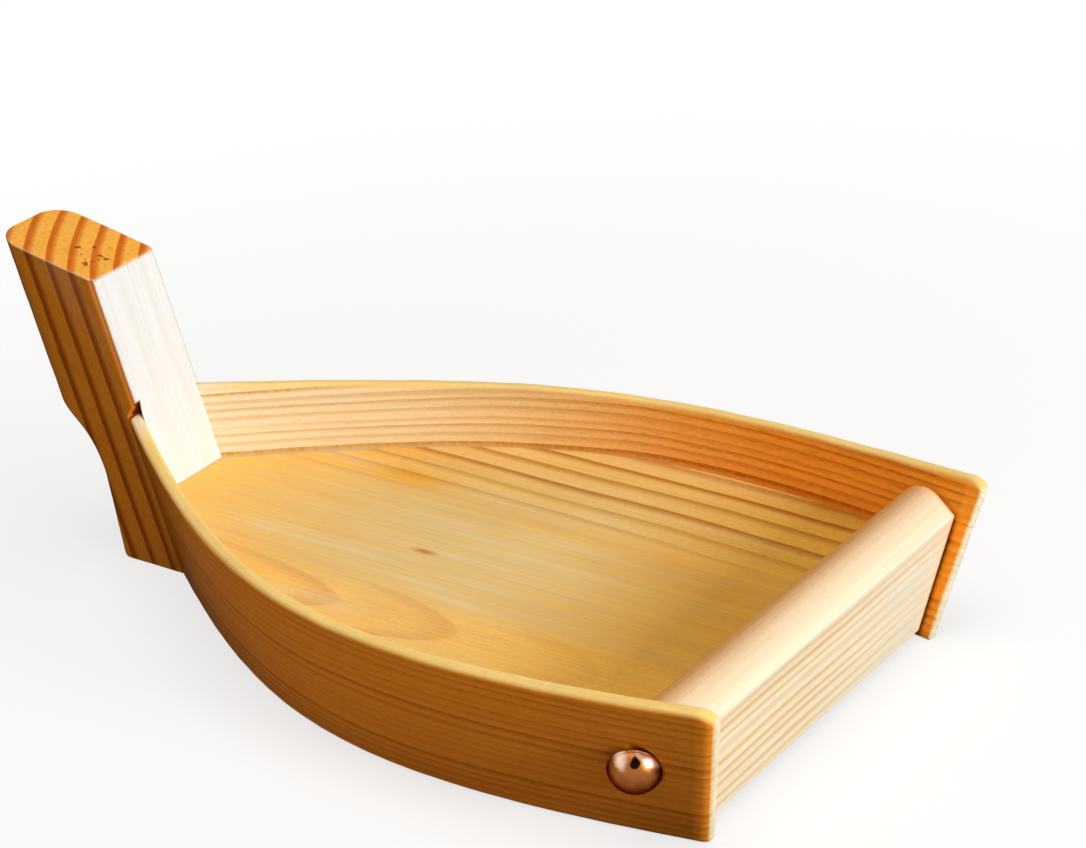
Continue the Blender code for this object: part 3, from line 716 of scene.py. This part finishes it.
# The pale and line tones show only on the aft face, near white as painted light; the deeper tones cover
# the sides and nose as painted shade, and faint figure.
STEM_PAINTED_LIGHT_PALE = linear(242, 249, 254)
STEM_PAINTED_LIGHT_LINE = linear(238, 224, 204)
STEM_END = (linear(248, 175, 70), linear(208, 104, 12))
STEM_SHADE_AND_DEEP = (linear(232, 142, 40), linear(166, 84, 12))
stem_pine = pine("stem_pine", STEM_PAINTED_LIGHT_PALE, STEM_PAINTED_LIGHT_LINE, STEM_END, STEM_SHADE_AND_DEEP, pith=(0.1347, 0.0993),
                 spacing=0.00657, wander=0.0016, uneven=0.1, late=(0.52, 0.86), weights=(0.95, 1.15),
                 figured=0.05)
dress(stem("stem_post_wood"), stem_pine, "stem_post")

# The floor board.
# One wide flat-sawn board, shaped to drop between the planks and glued along its edges. Its top is
# planed and lacquered, and a thin dark glue line shows along the planks.
FLOOR_HEIGHT = 0.0287
FLOOR_THICKNESS = 0.008
FLOOR_ARRIS = 0.0004
FLOOR_EDGE_GAP = 0.00035
FLOOR_BOW_GAP = 0.0006
FLOOR_BOW_GAP_RUN = (0.096, 0.036)
FLOOR_WAVE = 0.00007
FLOOR_WAVE_REACH = 0.03
FLOOR_ASTERN_RUN = (0.13, 0.21)
FLOOR_BOW_RUN = (0.085, 0.0)
FLOOR_STARBOARD = (0.005, 0.050)
FLOOR_PORT = (-0.026, -0.038)
FLOOR_RINGLESS = (0.036, 0.022)
RESIN_PLACE = (0.070, 0.0295)
RESIN_SIZE = (0.016, 0.0055)
CORNER_SHADE_WIDTH = 0.008


def floor_board(name):
    """A flat loop, over the top from starboard to port and back below, carried from the stem's aft face
    to the transom's front. Its edges stop a glue gap short of the planks at every height. The marks give
    a deeper tone to the bow end, the starboard side, the port side's fore part and a resin streak.
    Astern they paint the transom's shadow as a deeper, darker tone, with painted shade deepest in the
    starboard corner. Away from the bow and the port side the board is darker, and its lighter bow end
    is painted light bounced from the stem. The rings show best on the starboard side."""
    turn = np.linspace(0, pi / 2, 5)
    close = np.linspace(FLOOR_ARRIS, FLOOR_THICKNESS / 2, 4)[1:]
    ease = FLOOR_ARRIS * (1 - np.sin(turn))
    draw = FLOOR_ARRIS * (1 - np.cos(turn))
    body = np.linspace(0, 1, 150)[1:-1]
    rounding = np.sin(turn)
    share = np.concatenate([0 * close, 0 * turn, body, 1 + 0 * turn, 1 + 0 * close])[:, None]
    inward = np.concatenate([0 * close, ease[::-1], 0 * body, -ease, 0 * close])[:, None]
    shrink = np.concatenate([close[::-1], draw[::-1], 0 * body, draw, close])[:, None]
    end = np.concatenate([1 + 0 * close, rounding[::-1], 0 * body, rounding, 1 + 0 * close])[:, None]
    across, up, lean, lift = slab_loop(5, 90, 4)
    corner = np.maximum(FLOOR_ARRIS - shrink, 0)
    near = shrink + corner
    z = FLOOR_HEIGHT - FLOOR_THICKNESS + near + up * (FLOOR_THICKNESS - 2 * near) + lift * corner
    fore = (SHEER_BOW - z) * RAKE + GLUE_GAP / cos(STEM_RAKE)
    aft = transom_place(z) - (TRANSOM_THICKNESS + GLUE_GAP) / cos(TRANSOM_RAKE)
    x = fore + (aft - fore) * share + inward
    opened = ramp(x, *FLOOR_BOW_GAP_RUN) * (across > 0.5)
    reach = inner_width(x, z, FLOOR_EDGE_GAP + FLOOR_BOW_GAP * opened) - near
    y = (2 * across - 1) * reach + lean * corner
    z = z + FLOOR_WAVE * ripple(x, y, FLOOR_WAVE_REACH) * (up > 0.5) * (end < 0.01)
    points = np.stack([x, y, z], axis=-1)
    astern = smooth(ramp(x, *FLOOR_ASTERN_RUN))
    bow = ramp(x, *FLOOR_BOW_RUN)
    starboard = ramp(y, *FLOOR_STARBOARD)
    port = ramp(y, *FLOOR_PORT)
    resin = bell(x, RESIN_PLACE[0], RESIN_SIZE[0]) * bell(y, RESIN_PLACE[1], RESIN_SIZE[1])
    # Painted shade in the starboard corner astern, along the plank's foot.
    corner_shade = bell(y, reach, CORNER_SHADE_WIDTH) * astern
    # The deeper tone astern is the transom's painted shadow; the rest is the board's own tone and a
    # resin streak.
    aged = 0.75 * astern * (1 - 0.2 * starboard) + 0.22 * starboard + 0.55 * bow
    aged = aged + 0.6 * resin + 0.3 * port * (1 - astern)
    # Painted shade: the transom's shadow astern, the corner, and a darkening away from the bow and the
    # port side; the lighter bow is painted light bounced from the stem.
    dim = 0.48 * astern * (1 - 0.45 * starboard) + 0.26 * (1 - bow) * (1 - port) + 0.4 * corner_shade
    bare = ramp(y, *FLOOR_RINGLESS) * (1 - 0.55 * port)
    return skin(name, points, grain=points, end=end + 0 * z, aged=aged, bare=bare, dim=dim)


FLOOR_PALE = linear(250, 211, 134)
FLOOR_LINE = linear(196, 122, 42)
FLOOR_END = (linear(236, 186, 104), linear(196, 122, 50))
# The deeper tones: the board's own, and the transom's painted shadow astern.
FLOOR_SHADE_AND_DEEP = (linear(253, 180, 42), linear(194, 102, 16))
PIN_KNOT = (0.104, -0.008)
floor_pine = pine("floor_pine", FLOOR_PALE, FLOOR_LINE, FLOOR_END, FLOOR_SHADE_AND_DEEP, pith=(-0.044, 0.0264),
                  spacing=0.00558, lean=0.135, wander=0.0035, uneven=0.3, late=(0.48, 0.93), flat=0.5,
                  widen=2.2, figured=0.3, ghost=0.2, knot=PIN_KNOT)
dress(floor_board("floor_board_wood"), floor_pine, "floor_board")

# The transom.
# A thick board set across the stern between the planks, leaning aft, glued and nailed through them. Its
# front top arris is planed to a big round and its aft one to a small round.
TRANSOM_SLANT = 0.0394
TRANSOM_FOOT_GAP = 0.0024
TRANSOM_FRONT_RADIUS = 0.010
TRANSOM_TOP_FALL = radians(18)
TRANSOM_ARRIS = 0.0007
TRANSOM_STARBOARD_GAP = 0.0010
TRANSOM_WAVE = 0.00010
TRANSOM_WAVE_REACH = 0.025
TOP_BAND = (0.0345, 0.0365)
TONED_FROM = 0.030
ROUND_SHADE = (-0.001, -0.017)
CREAM_ACROSS = (-0.007, 0.063)
PLAIN_ACROSS = (0.0, 0.06)


def rounded(corners, radii, arc_steps, run_steps):
    """Once round a polygon with each corner rounded to its radius: arcs about centres on the corners'
    bisectors, joined by straight runs."""
    corners = np.asarray(corners, float)
    to_last = np.roll(corners, 1, axis=0) - corners
    to_next = np.roll(corners, -1, axis=0) - corners
    to_last = to_last / np.linalg.norm(to_last, axis=1, keepdims=True)
    to_next = to_next / np.linalg.norm(to_next, axis=1, keepdims=True)
    half = np.arccos((to_last * to_next).sum(axis=1)) / 2
    bisector = (to_last + to_next) / np.linalg.norm(to_last + to_next, axis=1, keepdims=True)
    centre = corners + bisector * (radii / np.sin(half))[:, None]
    sweep = np.linspace(-1, 1, arc_steps)[None, :] * (pi / 2 - half)[:, None]
    cross = (to_next - to_last) / np.linalg.norm(to_next - to_last, axis=1, keepdims=True)
    arcs = (centre[:, None] - radii[:, None, None] * np.cos(sweep)[..., None] * bisector[:, None]
            + radii[:, None, None] * np.sin(sweep)[..., None] * cross[:, None])
    share = np.linspace(0, 1, run_steps + 2)[1:-1, None]
    runs = arcs[:, -1:] + share * (np.roll(arcs[:, :1], -1, axis=0) - arcs[:, -1:])
    return np.concatenate([arcs, runs], axis=1).reshape(-1, 2)


def transom(name):
    """The side view, whose top falls aft behind its big round, carried across the boat from one plank
    to the other. At each end it closes up to its own middle against the plank, and it is a little short
    of the starboard one. The marks give the front and its round the deeper tone as painted shade,
    growing forwards from the aft face, and leave the starboard part paler."""
    front_top = (TRANSOM_SLANT - TRANSOM_FRONT_RADIUS
                 + TRANSOM_FRONT_RADIUS * (tan(TRANSOM_TOP_FALL) + 1 / cos(TRANSOM_TOP_FALL)))
    aft_top = front_top - TRANSOM_THICKNESS * tan(TRANSOM_TOP_FALL)
    corners = ((0, 0), (0, aft_top), (-TRANSOM_THICKNESS, front_top), (-TRANSOM_THICKNESS, 0))
    radii = np.array([TRANSOM_ARRIS, TRANSOM_ARRIS, TRANSOM_FRONT_RADIUS, TRANSOM_ARRIS])
    loop = rounded(corners, radii, 14, 14)
    middle = np.array([-TRANSOM_THICKNESS / 2, TRANSOM_SLANT / 2])
    body = np.linspace(-1, 1, 121)
    close = np.linspace(1, 0, 5)[1:]
    share = np.concatenate([-1 + 0 * close, body, 1 + 0 * close])[:, None]
    size = np.concatenate([close[::-1], 1 + 0 * body, close])[:, None]
    end = np.concatenate([1 + 0 * close, 1.0 * (np.abs(body) == 1), 1 + 0 * close])[:, None]
    back = middle[0] + size * (loop[:, 0] - middle[0])
    slant = middle[1] + size * (loop[:, 1] - middle[1])
    z = TRANSOM_FOOT_GAP + slant * cos(TRANSOM_RAKE) - back * sin(TRANSOM_RAKE)
    x = transom_place(TRANSOM_FOOT_GAP) + slant * sin(TRANSOM_RAKE) + back * cos(TRANSOM_RAKE)
    y = share * inner_width(x, z, np.where(share > 0, TRANSOM_STARBOARD_GAP, GLUE_GAP / 2))
    wave = TRANSOM_WAVE * ripple(y, slant, TRANSOM_WAVE_REACH) * (np.abs(share) < 1)
    points = np.stack([x + wave, y, z + wave], axis=-1)
    grain = np.stack([y, slant, back], axis=-1)
    top = ramp(slant, *TOP_BAND) + 0 * z
    # Painted shade: the deeper tone grows forwards from the aft face over the round and the front.
    aged = np.clip(ramp(back, *ROUND_SHADE), 0.12 * (slant > TONED_FROM), 0.9) + 0 * z
    cream = np.minimum(ramp(y, *CREAM_ACROSS), 0.9) * (1 - aged) * (1 - top)
    bare = top + 0.45 * ramp(y, *PLAIN_ACROSS) * (1 - top)
    return skin(name, points, grain=grain, end=end + 0 * z, bare=bare, aged=aged, cream=cream)


# The pale tone is near white so that the aft face and top read as lit: painted light. The deeper tones
# are painted shade on the round and the front.
TRANSOM_PAINTED_LIGHT_PALE = linear(255, 245, 220)
TRANSOM_LINE = linear(242, 194, 110)
TRANSOM_END = (linear(236, 190, 112), linear(200, 128, 56))
TRANSOM_SHADE_AND_DEEP = (linear(221, 155, 75), linear(204, 130, 52))
transom_pine = pine("transom_pine", TRANSOM_PAINTED_LIGHT_PALE, TRANSOM_LINE, TRANSOM_END, TRANSOM_SHADE_AND_DEEP,
                    pith=(-0.110, 0.012), spacing=0.0040, wander=0.005, uneven=0.7, late=(0.30, 0.80),
                    weights=(0.4, 1.0), figured=0.1)
dress(transom("transom_wood"), transom_pine, "transom")

# The copper nails.
# One on each side, driven through the plank into the transom's end. The domed heads are pressed copper
# with tarnish blotches; painted highlights brighten an upper patch and crescent, painted shade browns
# the lower side and rim, and a dark spot is a painted reflection. The hidden shanks are drawn short.
NAIL_HEAD_RISE = 0.0060
NAIL_SHANK_DIAMETER = 0.0028
NAIL_LENGTH = 0.008
NAIL_RIM = 0.0005
NAIL_NECK_RADIUS = 0.0036
NAIL_NECK_DEPTH = 0.0022
HAMMERED = 0.00005
HAMMERED_REACH = 0.0035


def nail(name, side):
    """A profile turned about the nail's axis: a spherical cap, a small rolled rim pressed into the
    plank's dish, a tapered neck, the shank and its blunt point. The dome carries a faint hammered
    unevenness, and the axis leans aft from the plank's normal."""
    head = NAIL_HEAD_DIAMETER / 2
    shank = NAIL_SHANK_DIAMETER / 2
    sphere = (head**2 + NAIL_HEAD_RISE**2) / (2 * NAIL_HEAD_RISE)
    spread = np.arcsin((head - NAIL_RIM * 0.4) / sphere)
    cap = np.linspace(0, spread, 40)
    roll = np.linspace(radians(50), radians(-90), 9)
    rim_centre = (head - NAIL_RIM, GLUE_GAP + NAIL_RIM * 0.2)
    radius = np.concatenate([sphere * np.sin(cap), rim_centre[0] + NAIL_RIM * np.cos(roll),
                             [NAIL_NECK_RADIUS, shank, shank, shank * 0.5, 0.0]])
    level = np.concatenate([GLUE_GAP + NAIL_HEAD_RISE - sphere * (1 - np.cos(cap)),
                            rim_centre[1] + NAIL_RIM * np.sin(roll),
                            [-NAIL_NECK_DEPTH, -NAIL_NECK_DEPTH - shank, -NAIL_LENGTH + shank,
                             -NAIL_LENGTH + shank * 0.4, -NAIL_LENGTH]])
    around = np.linspace(0, 2 * pi, 96, endpoint=False)[None, :]
    radius, level = radius[:, None], level[:, None]
    across, down = radius * np.cos(around), radius * np.sin(around)
    level = level + HAMMERED * ripple(across, down, HAMMERED_REACH) * (level > GLUE_GAP)
    x, y, out_x, out_y = plan_curve(NAIL_U)
    flare = flare_at(x)
    out = np.array([np.cos(flare) * out_x, side * np.cos(flare) * out_y, -np.sin(flare)])
    lean = NAIL_LEAN[side]
    stand = NAIL_STAND * tan(lean) / tan(NAIL_LEAN[-1])
    seat = np.array(plank_point(NAIL_U, NAIL_HEIGHT, 0.0)) * (1, side, 1) + stand * out
    aft = np.array([out_y, -side * out_x, 0.0])
    high = side * np.cross(aft, out)
    uphill = NAIL_LEAN_AFT * aft + NAIL_LEAN_UP * high
    level_way = NAIL_LEAN_AFT * high - NAIL_LEAN_UP * aft
    axis = cos(lean) * out + sin(lean) * uphill
    slope = cos(lean) * uphill - sin(lean) * out
    points = seat + across[..., None] * slope + down[..., None] * level_way + level[..., None] * axis
    local = np.stack([across, down, level + 0 * across], axis=-1)
    return skin(name, points, dome=local)


COPPER_BRIGHT = linear(166, 100, 50)
COPPER_SHADE_BROWN = linear(72, 34, 12)
COPPER_PAINTED_REFLECTION = linear(30, 12, 6)
COPPER_HIGHLIGHT = linear(246, 208, 178)
COPPER_EDGE = linear(184, 124, 90)
BLOTCHES = (420.0, 420.0, 420.0)
SPECKS = (1900.0, 1900.0, 1900.0)
SHADE_BELOW = (0.0004, 0.0052)
SHADE_PER_METRE = (24.0, 84.0)
SPOT_PLACE = (0.0018, 0.0055)
SPOT_SIZE = (0.00115, 0.0016)
SPOT_UP = (0.10, 0.995)
SPOT_POINTED = 1800.0
SPOT_FLATTENED = 1.6
HIGHLIGHT_PLACE = (-0.0021, 0.0064)
HIGHLIGHT_SIZE = (0.0004, 0.0026)
HIGHLIGHT_WAY = (0.77, 0.64)
HIGHLIGHT_FROM = (0.0057, 0.0066)
HIGHLIGHT_TO = (0.0072, 0.0076)
copper, start, shader = new_finish("aged_copper")
dome = start.add("Attribute", {"attribute_name": "dome"}, {}, 1)
slope, level_way, high = [start.add("SeparateXYZ", {}, {0: dome}, axis) for axis in range(3)]
blotch = dome.stretch(BLOTCHES).noise(4.0, 0.6)
speck = dome.stretch(SPECKS).noise(2.0)
# Painted shade browns the dome near its rim and towards its lower side; the blotches are tarnish.
shade_and_tarnish = (1 - high.rise(*SHADE_BELOW)) * 0.45 + blotch * 0.5 + 0.48
shade_and_tarnish = shade_and_tarnish - slope * SHADE_PER_METRE[0] - level_way * SHADE_PER_METRE[1]
# A dark spot high on the dome: a painted reflection.
spot_slope, spot_level = slope - SPOT_PLACE[0], level_way - SPOT_PLACE[1]
spot_up = spot_slope * SPOT_UP[0] + spot_level * SPOT_UP[1]
spot_side = spot_slope * SPOT_UP[1] - spot_level * SPOT_UP[0]
spot_point = spot_up.math("MAXIMUM", 1 + spot_up * SPOT_POINTED, 1.0)
off_reflection = (spot_up * spot_up * SPOT_FLATTENED + spot_side * spot_side * spot_point) ** 0.5
off_reflection = off_reflection + blotch * 0.0004
# A bright upper patch and a crescent along the upper rim: painted highlights.
highlight_slope, highlight_level = slope - HIGHLIGHT_PLACE[0], level_way - HIGHLIGHT_PLACE[1]
off_wear_and_highlight = (highlight_slope * highlight_slope + highlight_level * highlight_level) ** 0.5 + blotch * 0.0016
off_axis = (slope * slope + level_way * level_way) ** 0.5
painted_light = (slope * HIGHLIGHT_WAY[0] + level_way * HIGHLIGHT_WAY[1]).rise(*HIGHLIGHT_FROM)
painted_light = painted_light * (1 - off_axis.rise(*HIGHLIGHT_TO))
tone = shade_and_tarnish.rise(0.0, 0.9).blend(COPPER_BRIGHT, COPPER_SHADE_BROWN)
tone = (1 - off_wear_and_highlight.rise(*HIGHLIGHT_SIZE)).blend(tone, COPPER_HIGHLIGHT)
tone = (painted_light * 0.8).blend(tone, COPPER_HIGHLIGHT)
connect(off_reflection.rise(*SPOT_SIZE).blend(COPPER_PAINTED_REFLECTION, tone), shader, "Base Color")
connect(0.30 + shade_and_tarnish.rise(0.0, 1.0) * 0.14 + speck * 0.10, shader, "Roughness")
tarnish = blotch * 0.6 + speck * 0.4
bump = tarnish.add("Bump", {}, {"Height": tarnish, "Strength": 0.2, "Distance": 0.0002})
connect(bump, shader, "Normal")
shader.inputs["Metallic"].default_value = 1.0
shader.inputs["Specular Tint"].default_value = COPPER_EDGE
for nail_side, nail_name in ((-1, "port_stern_nail"), (1, "starboard_stern_nail")):
    dress(nail(nail_name + "_copper", nail_side), copper, nail_name)

# The stage.
# A plain pale floor and soft light from astern. Cameras and mirrors see floor and sky pale, while the
# light that they send back to the boat is low, so that its shaded side stays deep.
GROUND_REACH = 4.0
STAGE_PALE = (1.0, 1.0, 1.0, 1.0)
STAGE_BOUNCE = (0.36, 0.31, 0.25, 1.0)
STAGE_SHADE_LEFT = 0.28
SHADE_REACH = (0.17, 0.48)
SKY_LIGHT = (0.22, 0.21, 0.19, 1.0)

ground_mesh = bpy.data.meshes.new("ground")
ground_corners = [(-GROUND_REACH, -GROUND_REACH, 0), (GROUND_REACH, -GROUND_REACH, 0),
                  (GROUND_REACH, GROUND_REACH, 0), (-GROUND_REACH, GROUND_REACH, 0)]
ground_mesh.from_pydata(ground_corners, [], [(0, 1, 2, 3)])
ground = bpy.data.objects.new("ground", ground_mesh)
bpy.context.scene.collection.objects.link(ground)


def seen(start):
    """1 for rays from the camera, a mirror or a glass, and 0 for light on its way between surfaces."""
    rays = [start.add("LightPath", {}, {}, ray) for ray in
            ("Is Camera Ray", "Is Glossy Ray", "Is Transmission Ray")]
    return rays[0].math("MINIMUM", rays[0] + rays[1] + rays[2], 1.0)


ground_finish, start, shader = new_finish("pale_ground")
ground_mesh.materials.append(ground_finish)
connect(seen(start).blend(STAGE_BOUNCE, STAGE_PALE), shader, "Base Color")
shader.inputs["Roughness"].default_value = 1.0
shader.inputs["Specular IOR Level"].default_value = 0.0
glow = start.add("Emission", {}, {"Color": STAGE_PALE, "Strength": 1.0})
lit = Shade(start.tree, shader.outputs[0])
place = start.add("TexCoord", {}, {}, "Object")
shaded = 1 - start.add("VectorMath", {"operation": "LENGTH"}, {0: place}, 1).rise(*SHADE_REACH)
glowing = seen(start) * (1 - STAGE_SHADE_LEFT * shaded)
ground_mix = start.add("MixShader", {}, {0: glowing, 1: lit, 2: glow})
connect(ground_mix, start.tree.nodes["Material Output"], "Surface")

world = bpy.data.worlds.new("studio")
world.use_nodes = True
bpy.context.scene.world = world
sky = Shade(world.node_tree)
connect(seen(sky).blend(SKY_LIGHT, STAGE_PALE), world.node_tree.nodes["Background"], "Color")


def lamp(name, place, target, size, power, colour):
    """A square soft lamp that faces its target."""
    light = bpy.data.lights.new(name, "AREA")
    light.shape = "SQUARE"
    light.size = size
    light.energy = power
    light.color = colour
    holder = bpy.data.objects.new(name, light)
    holder.location = place
    holder.rotation_euler = (Vector(target) - Vector(place)).to_track_quat("-Z", "Y").to_euler()
    bpy.context.scene.collection.objects.link(holder)


BOAT_MIDDLE = (0.0, 0.0, 0.03)
lamp("stern_lamp", place=(1.44, -0.08, 0.455), target=BOAT_MIDDLE, size=0.32, power=13.6,
     colour=(1.0, 0.985, 0.955))
lamp("top_lamp", place=(0.10, -0.10, 1.60), target=BOAT_MIDDLE, size=1.20, power=14.0,
     colour=(1.0, 0.985, 0.96))

# The camera stands off the port quarter, a little rolled, with a long lens.
CAMERA_AIM = Vector((0.0482, 0.0, 0.0764))
CAMERA_DISTANCE = 0.8489
CAMERA_AZIMUTH = radians(37.903)
CAMERA_ELEVATION = radians(25.714)
CAMERA_ROLL = radians(-5.094)
PICTURE_WIDTH = 1086
FOCAL_PIXELS = 3000
camera_data = bpy.data.cameras.new("camera")
camera_data.sensor_fit = "HORIZONTAL"
camera_data.lens = camera_data.sensor_width * FOCAL_PIXELS / PICTURE_WIDTH
camera = bpy.data.objects.new("camera", camera_data)
turned = Matrix.Rotation(CAMERA_AZIMUTH, 4, "Z") @ Matrix.Rotation(pi / 2 - CAMERA_ELEVATION, 4, "X")
turned = turned @ Matrix.Rotation(CAMERA_ROLL, 4, "Z")
camera.matrix_world = Matrix.Translation(CAMERA_AIM + turned.col[2].xyz * CAMERA_DISTANCE) @ turned
bpy.context.scene.collection.objects.link(camera)
bpy.context.scene.camera = camera
bpy.context.scene.view_settings.view_transform = "Standard"
